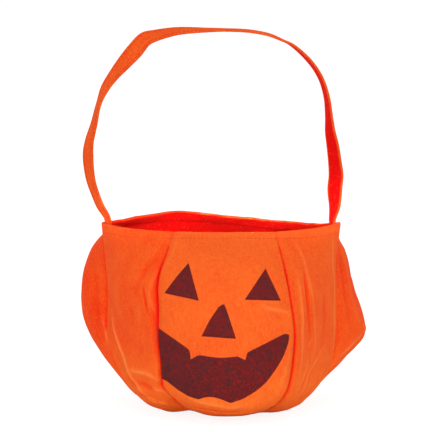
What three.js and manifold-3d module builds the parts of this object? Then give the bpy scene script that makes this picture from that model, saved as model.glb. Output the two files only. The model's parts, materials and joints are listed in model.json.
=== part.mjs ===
// Pumpkin candy basket: a bag of six felt gores on a round base, with a printed
// jack-o'-lantern face and a carrying strap that swings over the mouth.
// Millimetres, +Z up. The origin is the centre of the base's underside; the face looks along -Y.
import * as THREE from "three";
import { mergeVertices } from "three/addons/utils/BufferGeometryUtils.js";
import Module from "manifold-3d";

const wasm = await Module();
wasm.setup();

// Felt, and the clearance between sewn pieces
const feltThickness = 1.2;
const clearance = 0.3;
const seamAllowance = 6;
const hemDepth = 9;
const hemFoldGap = 0.3;

// Body
const baseRadius = 57;
const rimHeight = 157;
const goreFullness = 2.5;

// Strap
const strapWidth = 14.5;
const strapThickness = 2.2;
const strapSewnDepth = 10;
const hingeAboveRim = 12;
const strapEndFold = 19;
const swingLimit = 100;

// Sewing thread
const threadRadius = 0.3;
const hemStitchDepth = 7;
const seamStitchDepth = 3;
const strapStitchInset = 2;

// Printed ink
const inkThickness = 0.4;

// Fineness of the meshes
const goreColumns = 10;
const wallRows = 14;
const hemRows = 2;
const hemShare = 0.94;
const hemTurns = [60, 120];
const baseSides = 36;
const strapSteps = 3;
const rootSides = 24;
const threadSides = 5;

// Colours
const feltColour = 0xf4672a;
const strapColour = 0xee5024;
const inkColour = 0x712423;
const threadColour = 0xe04a1c;

// Each seam and each gore's middle line runs from the base's edge to the rim, clockwise
// from above. Toe and heel are shares of the way out to the belly, each with its rise; belly,
// swell and shoulder are points, and the rim's third number is its lift above the rim height.
const seamLines = {
  face_left: {
    toe: [0.35, 8], heel: [0.8, 28], belly: [-54, -90, 64], swell: [-54, -92, 100],
    shoulder: [-53, -80, 127], rim: [-42, -58, 0],
  },
  left_side: {
    toe: [0.35, 7], heel: [0.75, 29], belly: [-99, -9, 61], swell: [-98, -11, 100],
    shoulder: [-101, -4, 128], rim: [-104, 0, 0],
  },
  back_left: {
    toe: [0.35, 7], heel: [0.8, 27], belly: [-60, 92, 65], swell: [-58, 88, 100],
    shoulder: [-52, 78, 128], rim: [-40, 58, 4],
  },
  back_right: {
    toe: [0.35, 7], heel: [0.8, 27], belly: [60, 92, 65], swell: [58, 88, 100],
    shoulder: [52, 78, 126], rim: [41, 58, -4],
  },
  right_side: {
    toe: [0.35, 8], heel: [0.85, 31], belly: [95, -7, 61], swell: [95, -10, 100],
    shoulder: [95, -9, 128], rim: [99, 0, 0],
  },
  face_right: {
    toe: [0.35, 7], heel: [0.8, 26], belly: [60, -94, 68], swell: [56, -91, 102],
    shoulder: [51, -79, 127], rim: [43, -58, 0],
  },
};
const crownLines = {
  front_left_panel: {
    toe: [0.35, 6], heel: [0.75, 20], belly: [-72, -59, 62], swell: [-82, -58, 100],
    shoulder: [-83, -50, 128], rim: [-80, -37, 0],
  },
  back_left_panel: {
    toe: [0.3, 7], heel: [0.65, 34], belly: [-112, 55, 62], swell: [-117, 42, 102],
    shoulder: [-106, 54, 132], rim: [-79, 37, 1],
  },
  back_panel: {
    toe: [0.35, 4], heel: [0.8, 15], belly: [0, 112, 62], swell: [0, 107, 100],
    shoulder: [0, 90, 129], rim: [0, 60, 0],
  },
  back_right_panel: {
    toe: [0.2, 12], heel: [0.75, 40], belly: [116, 48, 57], swell: [106, 41, 100],
    shoulder: [98, 44, 129], rim: [76, 37, -4],
  },
  front_right_panel: {
    toe: [0.4, 7], heel: [0.7, 20], belly: [73, -57, 62], swell: [79, -56, 100],
    shoulder: [79, -48, 127], rim: [77, -37, 0],
  },
  face_panel: {
    toe: [0.35, 5], heel: [0.8, 15], belly: [2, -112, 60], swell: [1, -108, 98],
    shoulder: [0, -91, 130], rim: [0, -61, 0],
  },
};

// Folds of the slack front gores. Each runs through points given as shares of the way
// across the gore and up it, and sinks by its depth, less towards its ends and edges.
const folds = {
  front_left_panel: [
    { path: [[0.15, 0.86], [0.4, 0.66], [0.5, 0.42]], depth: 5, halfWidth: 0.16 },
    { path: [[0.12, 0.32], [0.5, 0.26], [0.7, 0.18]], depth: 4, halfWidth: 0.16 },
  ],
  front_right_panel: [
    { path: [[0.8, 0.92], [0.62, 0.6], [0.6, 0.25]], depth: 6, halfWidth: 0.14 },
  ],
};

// The printed shapes, as outlines seen from the front: X, and the drop from the rim
const printOutlines = {
  left_eye_print: [[-30.2, 23], [-41.5, 34.2], [-50.5, 48.7], [-21.4, 54.5]],
  right_eye_print: [[35.3, 27.8], [17.9, 53.5], [48.7, 55]],
  nose_print: [
    [-0.2, 57.7], [-3.4, 58.8], [-11.9, 67.5], [-19, 84.2], [10.3, 86.2], [2.2, 59.4],
  ],
  mouth_print: [
    [-55.5, 79], [-30.2, 95.5], [-28.6, 103.1], [-25.7, 102.6], [-20.2, 100.1], [-3.4, 102.4],
    [12.5, 100.7], [17.4, 104], [19.5, 99], [22.4, 96.6], [51.2, 83.2], [55.2, 85.9],
    [54.7, 94.9], [50.2, 104.6], [42.2, 115.4], [32.3, 127.7], [21.4, 136], [4.6, 143.2],
    [-2.4, 139.9], [-12, 137], [-21.3, 139.7], [-30.2, 136.9], [-43.1, 129.8], [-51, 122.6],
    [-54.5, 115],
  ],
};
const printReach = { nearest: -60, furthest: -140 };

// How far the strap's roots stand out from the ridges of its sewn ends
const strapLean = { left: 3, right: 0.2 };

// The strap's middle line: X from the left or the right root and Z from the hinge, with the
// ribbon's twist in degrees, positive where its front edge turns into the loop
const strapRoute = [
  { root: "left", at: [0, 0], twist: 0 },
  { root: "left", at: [-7, 12], twist: 26 },
  { root: "left", at: [-11, 25], twist: 30 },
  { root: "left", at: [-13, 44], twist: 35 },
  { root: "left", at: [-12, 56], twist: 27 },
  { root: "left", at: [-8, 71], twist: 18 },
  { root: "left", at: [-4, 88], twist: 12 },
  { root: "left", at: [1, 101], twist: 23 },
  { root: "left", at: [9, 113], twist: 33 },
  { root: "left", at: [19, 125], twist: 54 },
  { root: "left", at: [27, 134], twist: 68 },
  { root: "left", at: [35, 143], twist: 54 },
  { root: "left", at: [43, 146], twist: 35 },
  { root: "left", at: [62, 150], twist: 18 },
  { root: "left", at: [89, 151], twist: 4 },
  { root: "right", at: [-90, 151], twist: 0 },
  { root: "right", at: [-72, 150], twist: 0 },
  { root: "right", at: [-56, 147], twist: 0 },
  { root: "right", at: [-46, 143], twist: -2 },
  { root: "right", at: [-36, 138], twist: -9 },
  { root: "right", at: [-21, 124], twist: -13 },
  { root: "right", at: [-12, 110], twist: -13 },
  { root: "right", at: [-7, 94], twist: -15 },
  { root: "right", at: [-5, 77], twist: -21 },
  { root: "right", at: [-4, 65], twist: -32 },
  { root: "right", at: [-2, 54], twist: -41 },
  { root: "right", at: [0, 39], twist: -47 },
  { root: "right", at: [1, 28], twist: -54 },
  { root: "right", at: [0, 17], twist: -54 },
  { root: "right", at: [0, 0], twist: 0 },
];

const up = new THREE.Vector3(0, 0, 1);
const acrossY = new THREE.Vector3(0, 1, 0);
const seamNames = Object.keys(seamLines);
const goreNames = Object.keys(crownLines);
const goreAngle = 360 / goreNames.length;
const hingeHeight = rimHeight + hingeAboveRim;
const hemRadius = feltThickness + hemFoldGap / 2;
const hemInside = 2 * feltThickness + hemFoldGap;

// The gores' edge stands off the base's edge by the clearance between them
function footPoint(angle) {
  const turn = THREE.MathUtils.degToRad(angle);
  const radius = baseRadius + clearance / 2;
  return new THREE.Vector3(-radius * Math.sin(turn), -radius * Math.cos(turn), 0);
}

function lineOf({ toe, heel, belly, swell, shoulder, rim }, angle) {
  const foot = footPoint(angle);
  const widest = new THREE.Vector3(...belly);
  const points = [
    foot,
    ...[toe, heel].map(([share, rise]) => foot.clone().lerp(widest, share).setZ(rise)),
    widest,
    new THREE.Vector3(...swell),
    new THREE.Vector3(...shoulder),
    new THREE.Vector3(rim[0], rim[1], rimHeight + rim[2] - hemRadius),
  ];
  const curve = new THREE.CatmullRomCurve3(points, false, "centripetal");
  const length = curve.getLength();
  return { curve, length, hemStart: curve.getUtoTmapping(1 - hemDepth / length) };
}

const seams = seamNames.map((name, i) => lineOf(seamLines[name], (i + 0.5) * goreAngle));
const crowns = goreNames.map((name, i) => lineOf(crownLines[name], (i + 1) * goreAngle));

// A point of a line: height 0 is the base's edge, hemShare the hem's lower edge and 1 the rim
function linePoint({ curve, length, hemStart }, height) {
  if (height <= hemShare) {
    return curve.getPoint((height / hemShare) * hemStart);
  }
  const depth = (hemDepth * (1 - height)) / (1 - hemShare);
  return curve.getPointAt(1 - depth / length);
}

// A gore's smooth surface: across runs from 0 at its first seam to 1 at its second
function gorePoint(gore, across, height) {
  if (height === 0) {
    return footPoint((gore + 0.5 + across) * goreAngle);
  }
  const first = linePoint(seams[gore], height);
  const middle = linePoint(crowns[gore], height);
  const second = linePoint(seams[(gore + 1) % seams.length], height);
  return first
    .multiplyScalar((1 - across) * (1 - 2 * across))
    .addScaledVector(middle, 4 * across * (1 - across))
    .addScaledVector(second, across * (2 * across - 1));
}

const slopeStep = 0.01;

function slopeUp(gore, across, height) {
  const above = gorePoint(gore, across, Math.min(height + slopeStep, 1));
  const below = gorePoint(gore, across, Math.max(height - slopeStep, 0));
  return above.sub(below).normalize();
}

function goreInward(gore, across, height) {
  if (height === 0) {
    return up.clone();
  }
  const after = gorePoint(gore, Math.min(across + slopeStep, 1), height);
  const before = gorePoint(gore, Math.max(across - slopeStep, 0), height);
  return after.sub(before).cross(slopeUp(gore, across, height)).normalize();
}

// At a seam both gores turn in along the plane midway between them
function seamInward(seam, height) {
  const before = (seam + goreNames.length - 1) % goreNames.length;
  return goreInward(seam, 0, height).add(goreInward(before, 1, height)).normalize();
}

// The directions at a gore's point: into the bag, up the wall and, at a seam, into the gore
function directions(gore, across, height) {
  const atSeam = across === 0 || across === 1;
  const seam = (gore + across) % seams.length;
  const inward = atSeam ? seamInward(seam, height) : goreInward(gore, across, height);
  const rise = slopeUp(gore, across, height).projectOnPlane(inward).normalize();
  const aside = rise.clone().cross(inward).multiplyScalar(across === 0 ? 1 : -1);
  return { inward, rise, aside: atSeam ? aside : new THREE.Vector3() };
}

function foldPlace(path, height) {
  for (let i = 0; i + 1 < path.length; i++) {
    const [across0, height0] = path[i];
    const [across1, height1] = path[i + 1];
    if (height <= height0 && height >= height1) {
      return across0 + ((across1 - across0) * (height0 - height)) / (height0 - height1);
    }
  }
  return null;
}

function foldSink({ path, depth, halfWidth }, across, height) {
  const place = foldPlace(path, height);
  if (place === null || Math.abs(across - place) > halfWidth) {
    return 0;
  }
  const [top, bottom] = [path[0][1], path[path.length - 1][1]];
  const ends = Math.sin((Math.PI * (height - bottom)) / (top - bottom));
  const edges = Math.cos((0.5 * Math.PI * (across - place)) / halfWidth);
  return depth * ends * edges ** 2;
}

// How far the felt lies inside the smooth surface: it swells between its seams and sinks in folds
function sink(gore, across, height) {
  const swelling = goreFullness * Math.sqrt(4 * across * (1 - across)) * Math.sin(Math.PI * height);
  const goreFolds = folds[goreNames[gore]] ?? [];
  return goreFolds.reduce((total, fold) => total + foldSink(fold, across, height), -swelling);
}

// The felt's outer face, with the directions there
function feltPoint(gore, across, height) {
  const turns = directions(gore, across, height);
  const point = gorePoint(gore, across, height)
    .addScaledVector(turns.inward, across % 1 === 0 || height === 0 ? 0 : sink(gore, across, height))
    .addScaledVector(turns.aside, clearance / 2);
  return { point, ...turns };
}

// Solids from points

function solidGeometry(corners, faces) {
  const geometry = new THREE.BufferGeometry();
  geometry.setAttribute("position", new THREE.Float32BufferAttribute(corners.flatMap((p) => [...p]), 3));
  geometry.setIndex(faces.flat());
  return geometry;
}

function quad(a, b, c, d) {
  return [a, b, c, a, c, d];
}

// A closed sheet between two grids of points, each a list of columns
function sheetGeometry(outside, inside) {
  const columns = outside.length;
  const rows = outside[0].length;
  const out = (i, j) => i * rows + j;
  const back = (i, j) => (columns + i) * rows + j;
  const faces = [];
  for (let i = 0; i + 1 < columns; i++) {
    for (let j = 0; j + 1 < rows; j++) {
      faces.push(quad(out(i, j), out(i, j + 1), out(i + 1, j + 1), out(i + 1, j)));
      faces.push(quad(back(i, j), back(i + 1, j), back(i + 1, j + 1), back(i, j + 1)));
    }
    const top = rows - 1;
    faces.push(quad(out(i, 0), out(i + 1, 0), back(i + 1, 0), back(i, 0)));
    faces.push(quad(out(i, top), back(i, top), back(i + 1, top), out(i + 1, top)));
  }
  for (let j = 0; j + 1 < rows; j++) {
    const last = columns - 1;
    faces.push(quad(out(0, j), back(0, j), back(0, j + 1), out(0, j + 1)));
    faces.push(quad(out(last, j), out(last, j + 1), back(last, j + 1), back(last, j)));
  }
  return solidGeometry([...outside.flat(), ...inside.flat()], faces);
}

// A closed bar through rings of points, each turning clockwise as seen along the bar;
// a loop's last ring joins its first
function ringsGeometry(rings, isLoop = false) {
  const sides = rings[0].length;
  const faces = [];
  const joins = isLoop ? rings.length : rings.length - 1;
  for (let i = 0; i < joins; i++) {
    const next = (i + 1) % rings.length;
    for (let k = 0; k < sides; k++) {
      const l = (k + 1) % sides;
      faces.push(quad(i * sides + k, next * sides + k, next * sides + l, i * sides + l));
    }
  }
  if (!isLoop) {
    const end = (rings.length - 1) * sides;
    for (let k = 1; k + 1 < sides; k++) {
      faces.push([0, k, k + 1], [end, end + k + 1, end + k]);
    }
  }
  return solidGeometry(rings.flat(), faces);
}

// A thread through points that each carry their outward direction
function threadGeometry(stops, isLoop = false) {
  const rings = stops.map(({ point, outward }, i) => {
    const before = stops[isLoop ? (i + stops.length - 1) % stops.length : Math.max(i - 1, 0)].point;
    const after = stops[isLoop ? (i + 1) % stops.length : Math.min(i + 1, stops.length - 1)].point;
    const along = after.clone().sub(before).normalize();
    const side = outward.clone().cross(along).normalize();
    const normal = along.clone().cross(side);
    return Array.from({ length: threadSides }, (_, k) => {
      const turn = (2 * Math.PI * k) / threadSides;
      return point
        .clone()
        .addScaledVector(normal, threadRadius * Math.cos(turn))
        .addScaledVector(side, threadRadius * Math.sin(turn));
    });
  });
  return ringsGeometry(rings, isLoop);
}

// Joins and cuts

function toSolid(geometry) {
  const bare = geometry.clone();
  bare.deleteAttribute("normal");
  bare.deleteAttribute("uv");
  const merged = mergeVertices(bare, 1e-4);
  return new wasm.Manifold(
    new wasm.Mesh({
      numProp: 3,
      vertProperties: new Float32Array(merged.attributes.position.array),
      triVerts: new Uint32Array(merged.index.array),
    }),
  );
}

function toGeometry(solid) {
  const { vertProperties, triVerts } = solid.getMesh();
  const geometry = new THREE.BufferGeometry();
  geometry.setAttribute("position", new THREE.BufferAttribute(vertProperties, 3));
  geometry.setIndex(new THREE.BufferAttribute(triVerts, 1));
  return geometry;
}

function joined(geometries) {
  return toGeometry(geometries.map(toSolid).reduce((whole, solid) => whole.add(solid)));
}

// Gores

const acrossColumns = Array.from({ length: goreColumns + 1 }, (_, i) => i / goreColumns);
const wallHeights = Array.from({ length: wallRows + 1 }, (_, j) => (hemShare * j) / wallRows);
const hemHeights = Array.from({ length: hemRows }, (_, j) => hemShare + ((1 - hemShare) * (j + 1)) / hemRows);

// The felt rises to the rim, turns over and runs down inside to the hem's lower edge
function feltColumn(gore, across) {
  const outside = [];
  const inside = [];
  for (const height of [...wallHeights, ...hemHeights]) {
    const { point, inward } = feltPoint(gore, across, height);
    outside.push(point);
    inside.push(point.clone().addScaledVector(inward, feltThickness));
  }
  const { point, inward, rise } = feltPoint(gore, across, 1);
  const centre = point.clone().addScaledVector(inward, hemRadius);
  for (const degrees of hemTurns) {
    const turn = THREE.MathUtils.degToRad(degrees);
    const spoke = rise.clone().multiplyScalar(Math.sin(turn)).addScaledVector(inward, -Math.cos(turn));
    outside.push(centre.clone().addScaledVector(spoke, hemRadius));
    inside.push(centre.clone().addScaledVector(spoke, hemFoldGap / 2));
  }
  for (const height of [...hemHeights].reverse().concat(hemShare)) {
    const turned = feltPoint(gore, across, height);
    outside.push(turned.point.clone().addScaledVector(turned.inward, hemInside));
    inside.push(turned.point.addScaledVector(turned.inward, feltThickness + hemFoldGap));
  }
  return { outside, inside };
}

// The allowances start inside the felt and stand off the seam's plane a little more than it does
const allowanceRoot = feltThickness / 2;
const allowanceTip = feltThickness + seamAllowance;
const allowanceNear = clearance / 2 + 0.1;
const allowanceFar = allowanceNear + feltThickness;
const allowanceStart = 0.06;
const allowanceStop = hemShare - 0.02;

function allowanceRing(point, inward, aside) {
  const corner = (deep, wide) => point.clone().addScaledVector(inward, deep).addScaledVector(aside, wide);
  return [
    corner(allowanceRoot, allowanceNear),
    corner(allowanceRoot, allowanceFar),
    corner(allowanceTip, allowanceFar),
    corner(allowanceTip, allowanceNear),
  ];
}

function seamHeights() {
  const between = wallHeights.filter((height) => height > allowanceStart && height < allowanceStop);
  return [allowanceStart, ...between, allowanceStop];
}

function sideAllowance(gore, across) {
  const rings = seamHeights().map((height) => {
    const { inward, aside } = directions(gore, across, height);
    return allowanceRing(gorePoint(gore, across, height), inward, aside);
  });
  return ringsGeometry(across === 0 ? rings : rings.map((ring) => ring.reverse()));
}

// The foot's allowance stops short of the two at its sides
function footAllowance(gore) {
  const rings = acrossColumns.map((across) => {
    const point = gorePoint(gore, across, 0);
    const outward = point.clone().normalize();
    const { aside } = directions(gore, across, 0);
    return allowanceRing(point.addScaledVector(aside, allowanceFar), up, outward);
  });
  return ringsGeometry(rings.map((ring) => ring.reverse()));
}

function panelGeometry(gore) {
  const columns = acrossColumns.map((across) => feltColumn(gore, across));
  const sheet = sheetGeometry(columns.map((c) => c.outside), columns.map((c) => c.inside));
  return joined([sheet, sideAllowance(gore, 0), sideAllowance(gore, 1), footAllowance(gore)]);
}

// The base's felt turns up inside the gores' allowances
function baseGeometry() {
  const radius = baseRadius - clearance / 2;
  const profile = [
    [0, 0], [radius, 0], [radius, allowanceTip], [radius - feltThickness, allowanceTip],
    [radius - feltThickness, feltThickness], [0, feltThickness],
  ].map(([x, y]) => new THREE.Vector2(x, y));
  return new THREE.LatheGeometry(profile, baseSides).rotateX(Math.PI / 2);
}

// Print

function inkSlab() {
  const face = goreNames.indexOf("face_panel");
  const sheetAt = (distance) =>
    acrossColumns.map((across) =>
      wallHeights.map((height) => {
        const { point, inward } = feltPoint(face, across, height);
        return point.addScaledVector(inward, -distance);
      }),
    );
  return toSolid(sheetGeometry(sheetAt(clearance + inkThickness), sheetAt(clearance)));
}

function printGeometry(slab, outline) {
  const shape = new THREE.Shape(outline.map(([x, drop]) => new THREE.Vector2(x, rimHeight - drop)));
  const depth = printReach.nearest - printReach.furthest;
  const prism = new THREE.ExtrudeGeometry(shape, { depth, bevelEnabled: false });
  prism.rotateX(Math.PI / 2).translate(0, printReach.nearest, 0);
  return toGeometry(slab.intersect(toSolid(prism)));
}

// Strap

const endFold = THREE.MathUtils.degToRad(strapEndFold);

// The hem's inner face beside a side seam: distances from the seam's plane and out to the side
function cornerPoints(seam) {
  const before = (seam + goreNames.length - 1) % goreNames.length;
  const side = Math.sign(seamLines[seamNames[seam]].rim[0]);
  const points = [];
  for (const [gore, end] of [[seam, 0], [before, 1]]) {
    for (let step = 0; step <= 40; step++) {
      const across = Math.abs(end - step / 200);
      for (const height of [hemShare, ...hemHeights]) {
        const { point, inward } = feltPoint(gore, across, height);
        point.addScaledVector(inward, hemInside);
        points.push([Math.abs(point.y), side * point.x]);
      }
    }
  }
  return points;
}

// How far out the ridge of a sewn end's middle layer lies when it is pushed into the corner
function ridgeReach(seam) {
  const near = cornerPoints(seam).filter(([y]) => y <= strapWidth / 2 + clearance);
  const reach = Math.min(...near.map(([y, x]) => x + y * Math.tan(endFold)));
  return reach - (clearance + strapThickness / 2) / Math.cos(endFold);
}

const strapEnds = {
  left: { side: -1, ridge: ridgeReach(seamNames.indexOf("left_side")) },
  right: { side: 1, ridge: ridgeReach(seamNames.indexOf("right_side")) },
};
const strapRoots = {
  left: -(strapEnds.left.ridge + strapLean.left),
  right: strapEnds.right.ridge + strapLean.right,
};

const strapCurve = new THREE.CatmullRomCurve3(
  strapRoute.map(({ root, at: [x, z] }) => new THREE.Vector3(strapRoots[root] + x, 0, hingeHeight + z)),
  false,
  "centripetal",
);

// The strap's middle, with the directions of its width, from front to back, and of its outer face
function strapStop(step) {
  const place = step / strapSteps;
  const before = Math.min(Math.floor(place), strapRoute.length - 2);
  const twist = THREE.MathUtils.lerp(strapRoute[before].twist, strapRoute[before + 1].twist, place - before);
  const turn = THREE.MathUtils.degToRad(twist);
  const share = place / (strapRoute.length - 1);
  const along = strapCurve.getTangent(share);
  const flat = along.clone().cross(acrossY);
  const wide = acrossY.clone().multiplyScalar(Math.cos(turn)).addScaledVector(flat, Math.sin(turn));
  return { point: strapCurve.getPoint(share), wide, outward: along.clone().cross(wide) };
}

const strapStops = Array.from({ length: strapSteps * (strapRoute.length - 1) + 1 }, (_, i) => strapStop(i));

function strapGeometry() {
  const halfWidth = strapWidth / 2;
  const halfThickness = strapThickness / 2;
  const rings = strapStops.map(({ point, wide, outward }) => {
    const corner = (a, b) => point.clone().addScaledVector(wide, a).addScaledVector(outward, b);
    return [
      corner(-halfWidth, -halfThickness),
      corner(-halfWidth, halfThickness),
      corner(halfWidth, halfThickness),
      corner(halfWidth, -halfThickness),
    ];
  });
  const ends = Object.values(strapRoots).map((x) =>
    new THREE.CylinderGeometry(halfWidth, halfWidth, strapThickness, rootSides)
      .rotateZ(Math.PI / 2)
      .translate(x, 0, hingeHeight),
  );
  return joined([ringsGeometry(rings), ...ends]);
}

function strapThreadGeometry(side) {
  const inset = side * (strapWidth / 2 - strapStitchInset);
  const lift = strapThickness / 2 + clearance + threadRadius;
  const stops = strapStops.slice(strapSteps, -strapSteps).map(({ point, wide, outward }) => ({
    point: point.clone().addScaledVector(wide, inset).addScaledVector(outward, lift),
    outward,
  }));
  return threadGeometry(stops);
}

// A point of a sewn end's middle layer, or to the inside of it, at a distance from the seam's plane
function strapEndPoint({ side, ridge }, y, z, inside = 0) {
  const x = ridge - Math.abs(y) * Math.tan(endFold) - inside / Math.cos(endFold);
  return new THREE.Vector3(side * x, y, z);
}

// A sewn end is folded into the corner of the mouth; its top slopes away to clear the strap's swing
function strapEndGeometry(end) {
  const slope = THREE.MathUtils.degToRad(swingLimit - 90);
  const reach = strapWidth / 2 + clearance;
  const half = strapWidth / 2;
  const peak = hingeHeight - reach / Math.cos(slope);
  const eave = hingeHeight - (reach + half * Math.sin(slope)) / Math.cos(slope);
  const foot = rimHeight - strapSewnDepth;
  const columns = [[half, eave], [0, peak], [-half, eave]].map(([y, top]) => [[y, foot], [y, top]]);
  const layer = (inside) =>
    columns.map((column) => column.map(([y, z]) => strapEndPoint(end, end.side * y, z, inside)));
  return sheetGeometry(layer(-strapThickness / 2), layer(strapThickness / 2));
}

// Threads

const hemStitchHeight = 1 - (hemStitchDepth * (1 - hemShare)) / hemDepth;

function hemThreadGeometry() {
  const stops = goreNames.flatMap((_, gore) =>
    acrossColumns.slice(0, -1).map((across) => {
      const { inward } = directions(gore, across, hemStitchHeight);
      const lift = sink(gore, across, hemStitchHeight) - clearance - threadRadius;
      const point = gorePoint(gore, across, hemStitchHeight).addScaledVector(inward, lift);
      return { point, outward: inward.negate() };
    }),
  );
  return threadGeometry(stops, true);
}

function seamThreadGeometry(seam) {
  const stops = seamHeights().slice(1, -1).map((height) => {
    const { inward, aside } = directions(seam, 0, height);
    const point = gorePoint(seam, 0, height)
      .addScaledVector(inward, feltThickness + seamStitchDepth)
      .addScaledVector(aside, allowanceFar + clearance + threadRadius);
    return { point, outward: aside };
  });
  return threadGeometry(stops);
}

function baseThreadGeometry() {
  const radius = baseRadius - clearance / 2 - feltThickness - clearance - threadRadius;
  const stops = Array.from({ length: baseSides }, (_, i) => {
    const turn = (2 * Math.PI * i) / baseSides;
    const outward = new THREE.Vector3(Math.cos(turn), Math.sin(turn), 0);
    const point = outward.clone().multiplyScalar(radius).setZ(feltThickness + seamStitchDepth);
    return { point, outward };
  });
  return threadGeometry(stops, true);
}

// The tack that holds a sewn end: a row of stitches across it and down its two sides
function tackGeometry(end) {
  const lift = strapThickness / 2 + clearance + threadRadius;
  const half = strapWidth / 2 - strapStitchInset;
  const low = rimHeight - strapSewnDepth + strapStitchInset;
  const high = rimHeight - strapStitchInset;
  const corners = [[-half, low], [0, low], [half, low], [half, high], [0, high], [-half, high]];
  const stops = corners.map(([y, z]) => ({
    point: strapEndPoint(end, y, z, lift),
    outward: new THREE.Vector3(-end.side, 0, 0),
  }));
  return threadGeometry(stops, true);
}

// Assembly

const basket = new THREE.Group();

function addPiece(name, geometry, color, roughness = 0.95) {
  const material = new THREE.MeshStandardMaterial({ color, roughness, metalness: 0 });
  const mesh = new THREE.Mesh(geometry, material);
  mesh.name = name;
  basket.add(mesh);
}

goreNames.forEach((name, gore) => addPiece(name, panelGeometry(gore), feltColour));
addPiece("base_panel", baseGeometry(), feltColour);

const slab = inkSlab();
for (const [name, outline] of Object.entries(printOutlines)) {
  addPiece(name, printGeometry(slab, outline), inkColour, 0.8);
}

addPiece("handle_strap", strapGeometry(), strapColour);
addPiece("front_strap_thread", strapThreadGeometry(-1), threadColour);
addPiece("back_strap_thread", strapThreadGeometry(1), threadColour);
for (const [side, end] of Object.entries(strapEnds)) {
  addPiece(`${side}_strap_end`, strapEndGeometry(end), strapColour);
  addPiece(`${side}_strap_tack`, tackGeometry(end), threadColour);
}

addPiece("hem_thread", hemThreadGeometry(), threadColour);
seamNames.forEach((name, seam) => addPiece(`${name}_seam_thread`, seamThreadGeometry(seam), threadColour));
addPiece("base_seam_thread", baseThreadGeometry(), threadColour);

export default basket;
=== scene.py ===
"""Dresses the pumpkin candy basket: felt gores and their folds, print, strap and stitches."""

import json
from math import cos, exp, pi, radians, sin, tan

import bmesh
import bpy
import numpy as np
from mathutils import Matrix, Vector, noise


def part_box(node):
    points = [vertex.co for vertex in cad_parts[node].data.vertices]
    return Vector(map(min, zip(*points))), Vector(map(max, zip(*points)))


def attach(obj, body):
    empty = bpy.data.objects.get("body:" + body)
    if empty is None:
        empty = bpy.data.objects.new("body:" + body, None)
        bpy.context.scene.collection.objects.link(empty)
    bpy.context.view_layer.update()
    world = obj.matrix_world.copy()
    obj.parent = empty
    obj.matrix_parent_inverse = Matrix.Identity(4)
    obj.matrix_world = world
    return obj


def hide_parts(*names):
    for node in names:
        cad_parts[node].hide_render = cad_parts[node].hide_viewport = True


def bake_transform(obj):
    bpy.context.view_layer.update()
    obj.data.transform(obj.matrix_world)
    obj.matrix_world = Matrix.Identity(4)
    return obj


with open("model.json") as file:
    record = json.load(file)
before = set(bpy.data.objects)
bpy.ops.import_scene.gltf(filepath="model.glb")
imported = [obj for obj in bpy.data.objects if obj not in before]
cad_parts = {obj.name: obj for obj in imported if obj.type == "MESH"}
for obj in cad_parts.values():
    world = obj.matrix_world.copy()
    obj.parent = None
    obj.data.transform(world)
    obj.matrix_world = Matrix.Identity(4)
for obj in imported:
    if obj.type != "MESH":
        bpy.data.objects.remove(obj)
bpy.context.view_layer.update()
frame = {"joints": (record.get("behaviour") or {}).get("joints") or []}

# Lengths are in millimetres until a mesh is made
MM = 0.001

# Felt and sewing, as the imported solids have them
FELT = 1.2
CLEARANCE = 0.3
SEAM_GAP = 0.04
BASE_RADIUS = 57.0
RIM_HEIGHT = 157.0
FULLNESS = 2.5
ALLOWANCE = 6.0
HEM_DEPTH = 9.0
HEM_GAP = 0.3
HEM_RADIUS = FELT + HEM_GAP / 2
HEM_STITCH_DEPTH = 7.0
HEM_SHARE = 0.94

# Fineness of the cloth. ALLOWANCE_COLUMNS of each seam's SIDE_COLUMNS lie in its allowance,
# and ALLOWANCE_ROWS of the foot's FOOT_ROWS stand inside the bag.
COLUMNS = 72
WALL_ROWS = 130
HEM_ROWS = 7
SIDE_COLUMNS = 6
ALLOWANCE_COLUMNS = 3
FOOT_ROWS = 4
ALLOWANCE_ROWS = 2
EDGE_SHARE = 0.02
LINE_SAMPLES = 1201
BASE_SIDES = 120

# How deep the cloth rolls into an allowance, and half of its thin edge where it has none
ROLL_DEPTH = 1.5
SLIT = 0.05
# The base's waviness: its height, its closeness and the deepest that it sags
BASE_WAVE, BASE_NOISE, BASE_SAG = 0.35, 0.05, 0.2

# Distances from a gore's seams are counted as if it were this wide all the way up
GORE_WIDTH = 80

# The photograph's view: its size, the size of a pixel at the basket, the base's centre in
# it, and the camera's height and distance
PICTURE = 432
PIXEL = 0.85
BASE_AT = (224.0, 405.5)
ELEVATION = radians(7)
DISTANCE = 4000.0
SENSOR = 36.0

FORWARD = np.array([0, cos(ELEVATION), -sin(ELEVATION)])
RIGHT = np.array([1.0, 0, 0])
UPWARD = np.array([0, sin(ELEVATION), cos(ELEVATION)])
TARGET = RIGHT * (PICTURE / 2 - BASE_AT[0]) * PIXEL + UPWARD * (BASE_AT[1] - PICTURE / 2) * PIXEL
EYE = TARGET - FORWARD * DISTANCE
FOCAL = DISTANCE / PIXEL

# Each seam and each gore's middle line, clockwise from above: its toe and heel as shares of the
# way from the base's edge out to the belly, each with its rise, then its belly, swell and
# shoulder, and its place at the rim, with the height counted from RIM_HEIGHT.
SEAMS = {
    "face_left": ((0.35, 8), (0.8, 28), (-54, -90, 64), (-54, -92, 100), (-53, -80, 127), (-42, -58, 0)),
    "left_side": ((0.35, 7), (0.75, 29), (-99, -9, 61), (-98, -11, 100), (-101, -4, 128), (-104, 0, 0)),
    "back_left": ((0.35, 7), (0.8, 27), (-60, 92, 65), (-58, 88, 100), (-52, 78, 128), (-40, 58, 4)),
    "back_right": ((0.35, 7), (0.8, 27), (60, 92, 65), (58, 88, 100), (52, 78, 126), (41, 58, -4)),
    "right_side": ((0.35, 8), (0.85, 31), (95, -7, 61), (95, -10, 100), (95, -9, 128), (99, 0, 0)),
    "face_right": ((0.35, 7), (0.8, 26), (60, -94, 68), (56, -91, 102), (51, -79, 127), (43, -58, 0)),
}
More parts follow.
